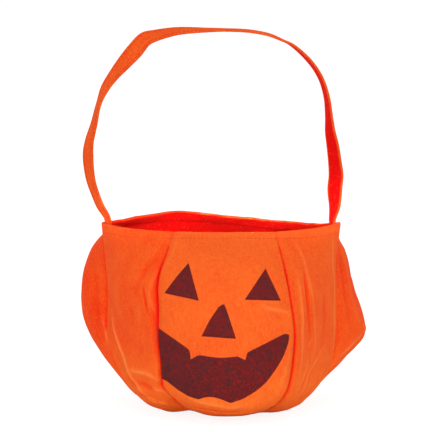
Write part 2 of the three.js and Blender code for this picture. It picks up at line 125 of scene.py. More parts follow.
CROWNS = {
    "front_left": ((0.35, 6), (0.75, 20), (-72, -59, 62), (-82, -58, 100), (-83, -50, 128), (-80, -37, 0)),
    "back_left": ((0.3, 7), (0.65, 34), (-112, 55, 62), (-117, 42, 102), (-106, 54, 132), (-79, 37, 1)),
    "back": ((0.35, 4), (0.8, 15), (0, 112, 62), (0, 107, 100), (0, 90, 129), (0, 60, 0)),
    "back_right": ((0.2, 12), (0.75, 40), (116, 48, 57), (106, 41, 100), (98, 44, 129), (76, 37, -4)),
    "front_right": ((0.4, 7), (0.7, 20), (73, -57, 62), (79, -56, 100), (79, -48, 127), (77, -37, 0)),
    "face": ((0.35, 5), (0.8, 15), (2, -112, 60), (1, -108, 98), (0, -91, 130), (0, -61, 0)),
}
GORES = list(CROWNS)
SEAM_NAMES = list(SEAMS)
GORE_ANGLE = 360 / len(GORES)

# Folds that the photograph shows: how far the cloth rises (or sinks) along each, its
# half-width, how sharp its crest is and how pale its painted highlight, and the pixels that it runs
# through
SEEN_FOLDS = {
    "front_left": [
        (-1.6, 4, 0, [(168, 242), (158, 257), (147, 271), (140, 284), (136, 300)]),
        (0.9, 3, 0.2, [(173, 246), (164, 262), (155, 277), (150, 296), (150, 316)]),
        (-2.4, 1.2, 0, [(146, 284), (148, 298), (152, 315)]),
        (0.9, 1.4, 0.3, [(150, 283), (152, 298), (156, 314)]),
        (-1.3, 1.8, 0, [(131, 302), (133, 314), (134, 328)]),
        (0.5, 2, 0.2, [(136, 302), (138, 314), (139, 328)]),
        (0.6, 4, 0.1, [(146, 330), (144, 345), (146, 362)]),
        (0.7, 8, 0, [(120, 245), (117, 290), (121, 330)]),
        (2.4, 1.9, 1.3,
         [(109, 312), (112, 330), (118, 349), (124, 364), (130, 379), (140, 393), (152, 403)]),
        (-1.2, 5, 0, [(118, 328), (124, 350), (130, 364)]),
        (-1.6, 2.6, 0, [(104, 336), (109, 354), (118, 373), (128, 389), (142, 404)]),
        (2.4, 2.2, 0.9, [(126, 370), (137, 373), (149, 376), (162, 382)]),
        (-1.9, 4.5, 0, [(131, 381), (146, 385), (162, 392)]),
        (2.0, 2.0, 0.7, [(152, 389), (163, 394), (173, 404)]),
        (-1.4, 3, 0, [(138, 393), (152, 396), (166, 402)]),
        (1.4, 2.2, 0.5, [(146, 399), (158, 405), (170, 408)]),
    ],
    "front_right": [
        (-2.2, 2.4, 0, [(303, 266), (305, 284), (307, 305), (308, 334), (307, 356), (298, 392)]),
        (-1.0, 2.4, 0, [(286, 238), (294, 248), (301, 262)]),
        (1.4, 2.0, 0.5, [(298, 270), (301, 290), (303, 312), (304, 334), (303, 355), (298, 384)]),
        (1.0, 2.6, 0.4,
         [(292, 238), (300, 250), (307, 266), (311, 285), (315, 320), (315, 350), (306, 384)]),
        (-1.8, 1.2, 0, [(304, 272), (305, 290), (306, 306), (307, 326)]),
        (-1.6, 2.4, 0, [(299, 318), (300, 340), (297, 366)]),
        (-0.9, 5, 0, [(320, 262), (324, 300), (322, 345), (312, 372)]),
        (0.8, 1.8, 0.8, [(333, 232), (334, 270), (335, 310), (334, 352)]),
        (1.6, 2.0, 1.0, [(324, 350), (313, 372), (300, 398)]),
        (1.2, 1.8, 0.9, [(313, 340), (308, 365), (297, 392)]),
        (-1.2, 2.0, 0, [(318, 356), (309, 372), (299, 390)]),
    ],
    "back_right": [
        (-1.2, 8, 0, [(344, 250), (349, 264), (353, 280)]),
        (-1.5, 3, 0, [(335, 236), (340, 262), (343, 290), (348, 318), (352, 338)]),
        (0.7, 3, 0.2, [(340, 240), (346, 262), (351, 290), (358, 318), (365, 328)]),
        (1.6, 3.5, 0.3, [(363, 325), (366, 329), (362, 334)]),
        (0.9, 2.4, 0.7, [(364, 331), (352, 345), (338, 360)]),
    ],
    "back_left": [
        (-1.0, 4, 0, [(99, 246), (97, 280), (100, 315)]),
        (1.2, 1.8, 0.8, [(101, 318), (105, 334), (109, 352)]),
    ],
    "face": [
        (0.9, 1.8, 0.5, [(262, 303), (270, 308), (280, 311), (293, 314)]),
        (-0.9, 2.2, 0, [(264, 308), (276, 315), (292, 319)]),
        (0.6, 5, 0, [(247, 252), (268, 262), (282, 278)]),
        (-0.6, 3, 0, [(262, 240), (274, 256), (281, 276)]),
        (0.7, 2.0, 0.2, [(178, 236), (172, 254), (163, 275)]),
        (-0.5, 3, 0, [(176, 262), (168, 276), (163, 292)]),
        (1.6, 2.0, 0.6, [(184, 398), (196, 403), (212, 406), (232, 408), (248, 406)]),
        (-1.6, 2.4, 0, [(192, 406), (206, 409), (226, 411), (244, 409)]),
        (-0.6, 5, 0, [(262, 385), (276, 374), (288, 358)]),
        (0.8, 2.4, 0.3, [(293, 345), (288, 362), (283, 380), (276, 394)]),
    ],
}
# The cloth that is seen edge-on, how wide a crest's painted highlight is, how finely a route is
# followed, how a fold's ends fade, and how much a crest sharpens it
EDGE_ON = 0.05
HIGHLIGHT_WIDTH = 1.3
ROUTE_FINENESS = 8
END_SHARE, END_ROUNDNESS = 0.02, 0.6
CREST_SHARPNESS = 0.7

# The cloth's unevenness: the height and reach of the gathers that run in from the seams, how
# close they lie up the seam and inwards, and their step in the noise from gore to gore and
# edge to edge. Then the height of broad and fine waves, how close they lie and how tall they
# are, and the share of them that the face has.
GATHER_HEIGHT, GATHER_REACH = 0.8, 7
GATHER_NOISE, GATHER_DRIFT = 26, 0.03
GORE_STEP, EDGE_STEP = 5.1, 7.3
BROAD_HEIGHT, BROAD_NOISE, BROAD_TALL = 0.9, 0.04, 0.5
FINE_HEIGHT, FINE_NOISE, FINE_TALL = 0.5, 0.11, 0.55
FACE_SHARE = 0.45

# How each seam is drawn in: the width of the dip on the gore before it and on the one after
# it, and its depth by height up the wall
SIDE_DIP = (3.0, 3.0, [(0.1, 0.6), (0.94, 0.0)])
BACK_DIP = (3.0, 3.0, [(0.1, 1.0), (0.5, 1.6), (0.94, 0.3)])
SEAM_DIPS = {
    "face_left": (2.2, 5.0, [(0.1, 1.0), (0.4, 2.0), (0.6, 2.8), (0.85, 2.2), (0.94, 0.4)]),
    "face_right": (2.6, 2.0, [(0.1, 1.2), (0.3, 3.0), (0.47, 2.8), (0.56, 1.0), (0.94, 0.7)]),
    "left_side": SIDE_DIP, "back_left": BACK_DIP, "back_right": BACK_DIP, "right_side": SIDE_DIP,
}

# How far the slack cloth carries a seam towards the gore after it, by height up the wall, and
# how far from the seam the cloth follows
SEAM_SHIFTS = {
    "face_left": [
        (0.25, 0), (0.29, 1.7), (0.335, 4.5), (0.37, 3.1), (0.42, 1.9), (0.49, 3.3),
        (0.55, 3.0), (0.64, 2.8), (0.72, 3.4), (0.8, 2.0), (0.88, 0),
    ],
}
SHIFT_REACH = 16
# How sharply a dip ends, the height at which it is full, and the distance from a seam and the
# height up the wall at which folds are full
DIP_SHARPNESS, DIP_START = 1.6, 0.08
FOLD_START, FOLD_FOOT = 5, 0.06

# The heights between which the cloth starts and stops turning into the seams' allowances
TUCK_STARTS = (0.03, 0.08)
TUCK_ENDS = (HEM_SHARE - 0.14, HEM_SHARE - 0.06)

# How deep a red of painted shade shows in each seam's groove, and its strength over the columns
# from the seam
SEAM_SHADE_REDS = {
    "face_left": 1.0, "left_side": 0.5, "back_left": 0.6,
    "back_right": 0.6, "right_side": 0.1, "face_right": 0.9,
}
GROOVE_SHADE_SHARES = (1.0, 0.8, 0.4)

# The bright red painted shade in the hollow beside the face's left seam: its heights, and its
# strength over the columns of the front left gore from the seam on
SHADED_HOLLOW_HEIGHTS = (0.6, 0.66, 0.86, 0.9)
SHADED_HOLLOW_SHARES = (1.0, 1.0, 0.95, 0.8, 0.6, 0.4, 0.2, 0.1)

# Each gore's sheet: how red its painted shade makes it next to the face's, from 0 to 1, then as it was cut
# its width, length and area in metres, with allowances and hem
SHEETS = {
    "front_left": (0.5, 0.112, 0.208, 0.0193), "back_left": (0.95, 0.156, 0.239, 0.0260),
    "back": (0.5, 0.146, 0.233, 0.0262), "back_right": (0.7, 0.156, 0.223, 0.0244),
    "front_right": (0.25, 0.112, 0.211, 0.0189), "face": (0.05, 0.140, 0.234, 0.0255),
}
# Shares of the same painted shade, a redder colour, for the base and the strap
BASE_SHADE_REDNESS = 0.3
STRAP_SHADE_REDNESS = 0.35

# Where the seams lift the bag's lower edge off the ground: the angle, from the front and
# clockwise from above, how far and how wide in degrees. Then the heights and the radii
# between which the lift fades.
EDGE_LIFTS = [
    (30, 3.6, 13), (-32, 1.6, 12), (90, 1.5, 14), (-90, 1.5, 14), (150, 1.5, 14), (-150, 1.5, 14),
]
EDGE_LIFT_HEIGHTS = (4, 34)
EDGE_LIFT_RADII = (18, 52)

# The print's outlines by their pixels in the photograph: x, y and how much a corner is rounded
PRINTS = {
    "left_eye_print": [(188.5, 262.8, 0.5), (177, 276, 6), (164.2, 293.1, 0.6), (198.8, 300.7, 0.6)],
    "right_eye_print": [(265.5, 268.4, 0.5), (244.7, 299.7, 0.6), (280.9, 300.7, 0.6)],
    "nose_print": [
        (224, 303.5, 2.6), (219, 306.5, 2), (209.5, 320, 7), (201.6, 336.3, 0.6),
        (236.1, 338.9, 0.6), (227, 311, 1.5),
    ],
    "mouth_print": [
        (150, 322, 0), (187.5, 348.4, 1.2), (189.8, 351.5, 1), (190.6, 359.4, 0.4), (198.6, 355, 2),
        (220, 358.4, 10), (237.5, 356.4, 1), (245.3, 360.2, 0.4), (247.3, 352.6, 1.4), (284, 334, 1.5),
        (289.4, 334.2, 2.4), (288.4, 343, 3), (284, 355.5, 5), (276, 369.5, 6), (265.5, 383.5, 6),
        (255, 392, 6), (243, 399, 4), (230.5, 403.2, 1.2), (221, 399.2, 2), (213, 397, 3),
        (206, 397, 3), (198.4, 399.4, 1.2), (188.5, 396.4, 4), (178, 390, 5), (167.5, 381.6, 3),
        (150, 372, 0),
    ],
}
# The film of ink: how far it stands over the felt and reaches into it, and how far in front
# of the base's centre the face lies at most and at least
INK_ABOVE = 0.14
INK_BELOW = 0.1
FACE_NEAR = 140
FACE_FAR = 40

# The strap: its section with a dent along each row of stitches, where its painted inner shade
# ends, how far over the hinge it bends and is creased, the fold of its sewn ends, and how far its
# roots stand out from the ends' ridges
STRAP_WIDTH = 14.5
STRAP_THICKNESS = 2.2
SECTION_POINTS = 25
STRAP_INSET = 2
DENT_DEPTH = 0.35
DENT_WIDTH = 0.7
EDGE_ROUNDNESS = 6
INNER_SHADE_EDGE = (5.4, 6.6)
BEND_HEIGHT, CREASE_HEIGHT = 16, 4
SEWN_DEPTH = 10.0
END_FOLD = radians(19)
END_HALF = STRAP_THICKNESS / 2 / cos(END_FOLD)
LEFT_LEAN, RIGHT_LEAN = 3.0, 0.2
# The ribbon's way out of each corner: how far out of the ridge, how high above the sewn
# end's foot, and its twist
LEFT_ROOT = [(0, 0, 0), (0, 5, 4), (0.8, 10, 14), (2.4, 15.5, 22), (5.2, 22, 25)]
RIGHT_ROOT = [(0, 0, 0), (0, 5, -4), (0, 10, -12), (0.1, 15.5, -20), (0.2, 25.5, -38)]
# Its middle line over each root, from left to right: X from that root, Z from the hinge and
# the ribbon's twist in degrees, positive where its front edge turns into the loop
LEFT_ROUTE = [
    (-7, 12, 26), (-11, 25, 30), (-13, 44, 35), (-12, 56, 27), (-8, 71, 18), (-4, 88, 12),
    (1, 101, 23), (9, 113, 33), (19, 125, 54), (27, 134, 68), (35, 143, 54), (43, 146, 35),
    (62, 150, 18), (89, 151, 4),
]
RIGHT_ROUTE = [
    (-90, 151, 0), (-72, 150, 0), (-56, 147, 0), (-46, 143, -2), (-36, 138, -9), (-21, 124, -13),
    (-12, 110, -13), (-7, 94, -15), (-5, 77, -21), (-4, 65, -32), (-2, 54, -41), (0, 39, -47),
    (1, 28, -54), (0, 17, -54),
]

# Stitches: their length and gap, the thread, how deep the seams' rows lie in the allowance and
# between which heights, which of the strap's points have them, and along one stitch its place,
# thickness and height over the felt
STITCH = 2.6
STITCH_GAP = 0.8
THREAD_RADIUS = 0.26
THREAD_SIDES = 6
STITCH_DEPTH = 3
SEAM_STITCHES = (0.09, HEM_SHARE - 0.12)
STRAP_STITCHES = slice(12, -12)
STITCH_PROFILE = ((0, 0.4, -0.25), (0.2, 0.9, 0.02), (0.5, 1, 0.1), (0.8, 0.9, 0.02), (1, 0.4, -0.25))

# Colours, in linear light
FELT_FACE = (0.845, 0.113, 0.017, 1)
# Painted shade: the redder colour of the gores' sides in shade, of the base and of the strap
FELT_SHADED_SIDE = (0.90, 0.036, 0.004, 1)
# Deep tone of the dye's streaks, also used as painted shade in the hollows and seam dips
FELT_DEEP_AND_SHADED = (0.87, 0.020, 0.004, 1)
# Pale tone of the dye's clouds and flecks, also used as painted light at the foot and on raised cloth
FELT_PALE_AND_LIT = (0.97, 0.200, 0.022, 1)
# Painted highlight along the folds' crests
FELT_CREST_HIGHLIGHT = (0.95, 0.270, 0.070, 1)
# Painted shade: the deep red of the felt inside the bag, in the allowances, under the hem, in the seams'
# grooves and on the strap's inner face
FELT_INNER_SHADE = (0.90, 0.003, 0.003, 1)
FELT_FUZZ = (0.92, 0.10, 0.05, 1)
FELT_SHEEN = (1.0, 0.5, 0.2, 1)
INK_DARK = (0.070, 0.016, 0.017, 1)
INK_WARM = (0.110, 0.013, 0.013, 1)
INK_GRAIN = (0.165, 0.012, 0.013, 1)
INK_FLECK = (0.40, 0.012, 0.010, 1)
INK_DARKER = (0.075, 0.017, 0.018, 1)
THREAD_LIGHT = (0.83, 0.058, 0.010, 1)
THREAD_DARK = (0.62, 0.028, 0.006, 1)
WHITE = (1, 1, 1, 1)
PAPER = (0.9, 0.9, 0.9, 1)
FLOOR_SHADE = (0.26, 0.26, 0.26, 1)

# Noise: its scale, detail and stretch along X, Y and Z, the limits between which it brings in a
# colour, and that colour's share
EVEN = (1, 1, 1)
CLOUDS = (40, 3, EVEN, 0.35, 0.7, 0.25)
STREAKS = (420, 4, (1, 1, 0.4), 0.42, 0.72, 0.34)
FLECKS = (900, 4, (1, 1, 0.6), 0.48, 0.70, 0.48)
FUZZ = (420, 5, EVEN, 0.56, 0.74, 0.4)
INK_PATCHES = (70, 3, EVEN, 0.35, 0.65, 1)
INK_GRAINS = (300, 4, EVEN, 0.36, 0.64, 1)
INK_FLECKS = (460, 4, EVEN, 0.55, 0.68, 0.8)
STRANDS = (2500, 2, EVEN, 0.3, 0.7, 1)
# Ramps: the two limits of a height, distance or share, and the values at them
# Painted light: paler at the foot, where the floor's bounce lights it
FOOT_BOUNCE_LIGHT = (0.0, 0.06, 0.95, 0)
# Painted highlight on raised cloth
HIGHLIT_RIDGES = (0.3, 2.5, 0, 0.4)
# Painted shade in the hollows and the seams' dips
SHADED_HOLLOWS = (-2.4, -0.3, 0.8, 0)
# Painted highlight on the folds' crests
HIGHLIT_CRESTS = (0, 1, 0, 0.85)
INK_LOW = (0.025, 0.075, 1, 0)
INK_LEFT = (-0.05, -0.01, 1, 0)
INK_FLECKING = (0, 1, 0.45, 1)
INK_DARKENING = (0, 1, 0, 0.75)
# Noise that roughens a surface, the finest first: the same three, and its depth in metres
FELT_BUMPS = (
    (1400, 5, (1, 1, 0.6), 0.0003), (520, 4, (1, 1, 0.4), 0.0006), (150, 4, (1, 1, 0.6), 0.0008),
)
INK_BUMPS = ((1500, 5, EVEN, 0.0002),)

# Lamps: place, aim and size in metres, and power in watts. The low one lights the curve under
# the face, and the strip lights the back wall of the mouth over its front rim.
LAMPS = {
    "front": ((0.1, -2.4, 1.2), (0, 0, 0.1), 1.6, 4.6),
    "top": ((0, -0.4, 1.6), (0, 0, 0.2), 1.2, 4.2),
    "left": ((-1.9, -1.7, 0.65), (0, 0, 0.1), 1.6, 11),
    "right": ((1.9, -1.7, 0.6), (0, 0, 0.1), 1.6, 10.5),
    "back_left": ((-1.6, 2.0, 1.0), (0, 0, 0.1), 1.6, 8.5),
    "back_right": ((1.6, 2.0, 1.0), (0, 0, 0.1), 1.6, 8.5),
    "low": ((0, -1.5, 0.06), (0, 0, -0.12), 0.5, 0.2),
    "strip": ((0, -0.45, 0.29), (0, 0.06, 0.150), 0.19, 0.032),
}
LOW_SPREAD = radians(24)
STRIP_SPREAD = radians(8)
STRIP_HEIGHT = 0.02
WORLD_LIGHT = 0.6
FLOOR_SIZE = 60
FLOOR_HEIGHT = -0.0005
FLOOR_GLOW = 0.88


def unit(vectors):
    return vectors / np.linalg.norm(vectors, axis=-1, keepdims=True)


def smoothstep(x, low, high):
    t = np.clip((x - low) / (high - low), 0, 1)
    return t * t * (3 - 2 * t)


def bend(start, corner, end, t):
    """A curve from start to end that bends at a corner."""
    return (1 - t) ** 2 * start + 2 * t * (1 - t) * corner + t * t * end


def repeat_ends(values, first, last, axis=0):
    """Values with the first and the last along an axis repeated."""
    counts = np.ones(values.shape[axis], int)
    counts[0], counts[-1] = first, last
    return np.repeat(values, counts, axis)


def pixels(points):
    """Where points show in the photograph's view."""
    ray = points - EYE
    scale = FOCAL / (ray @ FORWARD)
    return np.stack([PICTURE / 2 + scale * (ray @ RIGHT), PICTURE / 2 - scale * (ray @ UPWARD)], axis=-1)


def along_ray(pixel, distance):
    """The point that far in front of the camera at a pixel."""
    x, y = (pixel[0] - PICTURE / 2) / FOCAL, (PICTURE / 2 - pixel[1]) / FOCAL
    return EYE + distance * (FORWARD + RIGHT * x + UPWARD * y)


def catmull_rom(points, places):
    """A centripetal curve through points, at places counted in points."""
    p = np.array(points, float)
    p = np.vstack([2 * p[0] - p[1], p, 2 * p[-1] - p[-2]])
    start = np.clip(np.floor(places).astype(int), 0, len(points) - 2)
    t = (places - start)[:, None]
    p0, p1, p2, p3 = (p[start + k] for k in range(4))
    gaps = (np.linalg.norm(b - a, axis=1, keepdims=True) for a, b in ((p0, p1), (p1, p2), (p2, p3)))
    d0, d1, d2 = (np.sqrt(gap) + 1e-9 for gap in gaps)
    m1 = ((p1 - p0) / d0 - (p2 - p0) / (d0 + d1) + (p2 - p1) / d1) * d1
    m2 = ((p2 - p1) / d1 - (p3 - p1) / (d1 + d2) + (p3 - p2) / d2) * d1
    a, b = 3 * (p2 - p1) - 2 * m1 - m2, 2 * (p1 - p2) + m1 + m2
    return p1 + t * (m1 + t * (a + t * b))


def run_along(points):
    """How far along a path each of its points lies."""
    return np.concatenate([[0], np.cumsum(np.linalg.norm(np.diff(points, axis=0), axis=1))])


def foot_points(angles):
    """Points of the bag's foot at angles clockwise from the front."""
    turn = np.radians(angles)
    radius = BASE_RADIUS + CLEARANCE / 2
    return np.stack([-radius * np.sin(turn), -radius * np.cos(turn), np.zeros_like(turn)], axis=-1)


def line(spec, angle, heights):
    """A seam or middle line at heights from 0, the foot, past HEM_SHARE to 1, the rim."""
    (toe_share, toe_rise), (heel_share, heel_rise), *upper, rim = spec
    foot = foot_points(np.array([float(angle)]))[0]
    toe = foot + toe_share * (upper[0] - foot)
    heel = foot + heel_share * (upper[0] - foot)
    toe[2], heel[2] = toe_rise, heel_rise
    points = [foot, toe, heel, *upper, np.add(rim, [0, 0, RIM_HEIGHT - HEM_RADIUS])]
    places = np.linspace(0, len(points) - 1, LINE_SAMPLES)
    run = run_along(catmull_rom(points, places))
    hem_start = np.interp(run[-1] - HEM_DEPTH, run, places)
    low = heights / HEM_SHARE * hem_start
    depth = HEM_DEPTH * (1 - heights) / (1 - HEM_SHARE)
    high = np.interp(run[-1] - depth, run, places)
    return catmull_rom(points, np.where(heights <= HEM_SHARE, low, high))


wall_heights = np.linspace(0, HEM_SHARE, WALL_ROWS)
hem_heights = np.linspace(HEM_SHARE, 1, HEM_ROWS + 1)[1:]
heights = np.concatenate([wall_heights, hem_heights])
across = np.concatenate([[0], np.linspace(EDGE_SHARE, 1 - EDGE_SHARE, COLUMNS), [1]])
seam_lines = [line(s, (i + 0.5) * GORE_ANGLE, heights) for i, s in enumerate(SEAMS.values())]
crown_lines = [line(s, (i + 1) * GORE_ANGLE, heights) for i, s in enumerate(CROWNS.values())]


def smooth_surface(gore):
    """A gore's surface without folds and the directions into the bag, by columns and rows."""
    first, middle, last = seam_lines[gore], crown_lines[gore], seam_lines[(gore + 1) % len(GORES)]
    u = across[:, None, None]
    grid = (1 - u) * (1 - 2 * u) * first + 4 * u * (1 - u) * middle + u * (2 * u - 1) * last
    grid[:, 0] = foot_points((gore + 0.5 + across) * GORE_ANGLE)
    along_u = (4 * u - 3) * first + (4 - 8 * u) * middle + (4 * u - 1) * last
    along_v = np.gradient(grid, heights, axis=1)
    inward = unit(np.cross(along_u, along_v))
    inward[:, 0] = [0, 0, 1]
    return grid, inward


smooth = [smooth_surface(g) for g in range(len(GORES))]


def seam_directions(seam):
    """Into the bag at each height of a seam, and aside into the gore that starts there."""
    inward = unit(smooth[seam][1][0] + smooth[seam - 1][1][-1])
    rise = np.gradient(smooth[seam][0][0], heights, axis=0)
    rise = unit(rise - (rise * inward).sum(1, keepdims=True) * inward)
    return inward, np.cross(rise, inward)


seam_ways = [seam_directions(s) for s in range(len(GORES))]


def distance_to_route(points, route):
    """Each point's distance from a polyline, and how far along it its nearest place is."""
    best = np.full(points.shape[:-1], np.inf)
    place = np.zeros(points.shape[:-1])
    count = len(route) - 1
    for i in range(count):
        start, step = route[i], route[i + 1] - route[i]
        t = np.clip(((points - start) @ step) / max(step @ step, 1e-9), 0, 1)
        gap = np.linalg.norm(points - start - t[..., None] * step, axis=-1)
        nearer = gap < best
        best = np.where(nearer, gap, best)
        place = np.where(nearer, (i + t) / count, place)
    return best, place


def fold_lift(grid, inward, swelling, height, width, crest, route):
    """How far one fold lifts each point of a gore, and how strong its crest's painted highlight is there.
    """
    seen = pixels(grid - inward * (swelling + height)[..., None])
    hidden = (inward @ FORWARD < EDGE_ON)[..., None]
    at = []
    for pixel in route:
        gaps = np.linalg.norm(np.where(hidden, 1e6, seen - np.array(pixel)), axis=-1)
        at.append(grid[np.unravel_index(np.argmin(gaps), gaps.shape)])
    path = catmull_rom(at, np.linspace(0, len(at) - 1, ROUTE_FINENESS * len(at)))
    gap, place = distance_to_route(grid, path)
    ends = np.sin(np.pi * np.clip(place, END_SHARE, 1 - END_SHARE)) ** END_ROUNDNESS
    lift = height * ends * np.exp(-((gap / width) ** (2 - CREST_SHARPNESS * crest)))
    return lift, crest * ends * np.exp(-((gap / HIGHLIGHT_WIDTH) ** 2))


def pucker(gore):
    """Small gathers that run in from the seams, and the cloth's broad unevenness."""
    grid = smooth[gore][0]
    lift = np.zeros(grid.shape[:2])
    edges = np.minimum(across, 1 - across) * GORE_WIDTH
    share = FACE_SHARE if GORES[gore] == "face" else 1.0
    for i in range(grid.shape[0]):
        near_seam = GATHER_HEIGHT * exp(-edges[i] / GATHER_REACH)
        for j in range(grid.shape[1]):
            x, y, z = grid[i, j]
            side = 0.0 if across[i] < 0.5 else EDGE_STEP
            up_seam = heights[j] * GATHER_NOISE + gore * GORE_STEP
            gather = noise.noise(Vector((up_seam, side, edges[i] * GATHER_DRIFT)))
            broad = noise.noise(Vector((x, y, z * BROAD_TALL)) * BROAD_NOISE + Vector((gore, 0, 0)))
            fine = noise.noise(Vector((x, y, z * FINE_TALL)) * FINE_NOISE)
            lift[i, j] = near_seam * gather + share * (BROAD_HEIGHT * broad + FINE_HEIGHT * fine)
    return lift


def seam_dip(seam):
    """How far a seam is drawn in at each height."""
    *_, depths = SEAM_DIPS[SEAM_NAMES[seam]]
    return np.interp(heights, *zip(*depths)) * smoothstep(heights, 0, DIP_START)


def seam_shift(seam):
    """How far a seam is carried aside at each height, as vectors."""
    shifts = SEAM_SHIFTS.get(SEAM_NAMES[seam], [(0, 0)])
    return np.interp(heights, *zip(*shifts))[:, None] * seam_ways[seam][1]


def ground_lift(points):
    """How far the bag's lower edge is lifted at each point."""
    angle = np.degrees(np.arctan2(-points[..., 0], -points[..., 1]))
    reach = np.linalg.norm(points[..., :2], axis=-1)
    low = (1 - smoothstep(points[..., 2], *EDGE_LIFT_HEIGHTS)) * smoothstep(reach, *EDGE_LIFT_RADII)
    rise = np.zeros(angle.shape)
    for centre, height, width in EDGE_LIFTS:
        away = (angle - centre + 180) % 360 - 180
        rise = rise + height * np.exp(-((away / width) ** 2))
    return rise * low


def cloth_surface(gore):
    """A gore's outer face, the directions into the bag, how far folds raise it and its painted crest
    highlight.
    """
    grid, inward = smooth[gore]
    last = (gore + 1) % len(GORES)
    u, h = across[:, None], heights[None, :]
    swelling = FULLNESS * np.sqrt(4 * u * (1 - u)) * np.sin(np.pi * h)
    lift = pucker(gore)
    crest_highlight = np.zeros_like(lift)
    for fold in SEEN_FOLDS.get(GORES[gore], []):
        raised, highlit = fold_lift(grid, inward, swelling, *fold)
        lift = lift + raised
        crest_highlight = np.maximum(crest_highlight, highlit)
    lift = lift * smoothstep(GORE_WIDTH * np.minimum(u, 1 - u), 0, FOLD_START)
    lift = lift * smoothstep(h, 0, FOLD_FOOT)
    for seam, edge, side in ((gore, GORE_WIDTH * u, 1), (last, GORE_WIDTH * (1 - u), 0)):
        width = SEAM_DIPS[SEAM_NAMES[seam]][side]
        lift = lift - seam_dip(seam)[None, :] * np.exp(-((edge / width) ** DIP_SHARPNESS))
    points = grid - inward * (swelling + lift)[..., None]
    points[0] = grid[0] + seam_ways[gore][0] * seam_dip(gore)[:, None]
    points[-1] = grid[-1] + seam_ways[last][0] * seam_dip(last)[:, None]
    for seam, edge in ((gore, GORE_WIDTH * across), (last, GORE_WIDTH * (1 - across))):
        points = points + seam_shift(seam)[None] * np.exp(-((edge / SHIFT_REACH) ** 2))[:, None, None]
    return points, inward, lift, crest_highlight


def edge_columns(corner, edge, edge_inner, inward, aside, tuck):
    """The cloth's turn into a seam's allowance: its outer and inner columns, from the tip to the
    edge. Where tuck is 0, near the foot and the hem, the cloth ends in a thin edge instead."""
    near, far = FELT * 0.5 - SLIT, FELT * 0.5 + SLIT
    inner = corner + aside * FELT * 0.6 + inward * FELT
    turns, cuts = [], []
    for depth in (ALLOWANCE + FELT, ALLOWANCE * 0.6 + FELT):
        turns.append((corner + inward * depth, corner + aside * FELT + inward * depth))
        cuts.append((corner + inward * near, corner + inward * far))
    for t in (0, 0.25, 0.5, 0.75):
        turns.append((
            bend(corner + inward * ROLL_DEPTH, corner, edge, t),
            bend(corner + aside * FELT + inward * ROLL_DEPTH, inner, edge_inner, t),
        ))
        back = corner + inward * (far + t * (FELT - FELT * 0.5 - SLIT))
        cuts.append((
            corner + (1 - t) * inward * near + t * t * (edge - corner) * 0.5,
            back + t * t * (edge_inner - corner - inward * FELT) * 0.5,
        ))
    return tuck * np.array(turns) + (1 - tuck) * np.array(cuts)


def panel_grids(gore):
    """A gore's outer and inner grid with its two side allowances, then as cloth_surface."""
    points, inward, lift, crest_highlight = cloth_surface(gore)
    sheet = np.stack([points, points + inward * FELT], 1)
    tuck = smoothstep(heights, *TUCK_STARTS) * (1 - smoothstep(heights, *TUCK_ENDS))
    inward = inward.copy()
    sides = []
    for seam, column, beside, sign in ((gore, 0, 1, 1), ((gore + 1) % len(GORES), -1, -2, -1)):
        into, aside = seam_ways[seam]
        aside = aside * sign
        corner = points[column] + aside * SEAM_GAP / 2
        sides.append(edge_columns(corner, *sheet[beside], into, aside, tuck[:, None]))
        inward[column] = into
    sheet = np.concatenate([sides[0], sheet[1:-1], sides[1][::-1]])
    marks = (repeat_ends(mark, SIDE_COLUMNS, SIDE_COLUMNS) for mark in (inward, lift, crest_highlight))
    return sheet.swapaxes(0, 1), *marks


def with_hem(sheet, inward):
    """Adds the rows that turn over at the rim and run down inside."""
    outer = sheet[0]
    top, into = outer[:, -1], inward[:, -1]
    rise = unit(top - outer[:, -3])
    rise = unit(rise - (rise * into).sum(1, keepdims=True) * into)
    centre = top + into * HEM_RADIUS
    rows = []
    for degrees in (30, 60, 90, 120, 150):
        turn = radians(degrees)
        spoke = rise * sin(turn) - into * cos(turn)
        rows.append((centre + spoke * HEM_RADIUS, centre + spoke * (HEM_GAP / 2)))
    for row in range(len(heights) - 1, WALL_ROWS - 2, -1):
        start, into = outer[:, row], inward[:, row]
        rows.append((start + into * (2 * FELT + HEM_GAP), start + into * (FELT + HEM_GAP)))
    return np.concatenate([sheet, np.moveaxis(rows, 0, 2)], 2)


def with_foot(sheet):
    """Replaces the lowest row by rows that turn up inside along the base."""
    corner, (outer_end, inner_end) = sheet[0][:, 0], sheet[:, :, 1]
    outward = unit(corner * [1, 1, 0])
    inside = corner + outward * FELT
    up = np.array([0, 0, 1.0])
    tips = [corner + up * (ALLOWANCE + FELT), corner + up * (ALLOWANCE * 0.5 + FELT)]
    rows = [(tip, tip + outward * FELT) for tip in tips]
    for t in (0, 0.33, 0.67):
        outer = bend(corner + up * ROLL_DEPTH, corner, outer_end, t)
        rows.append((outer, bend(inside + up * ROLL_DEPTH, inside + up * FELT, inner_end, t)))
    return np.concatenate([np.moveaxis(rows, 0, 2), sheet[:, :, 1:]], 2)


def add_object(name, data):
    made = bpy.data.objects.new(name, data)
    bpy.context.scene.collection.objects.link(made)
    return made


def new_object(name, vertices, faces):
    """An object from points in millimetres, smooth but for its sharp edges."""
    mesh = bpy.data.meshes.new(name)
    mesh.from_pydata((np.asarray(vertices) * MM).tolist(), [], faces)
    mesh.validate()
    mesh.update()
    mesh.shade_smooth()
    mesh.set_sharp_from_angle(angle=radians(45))
    return add_object(name, mesh)


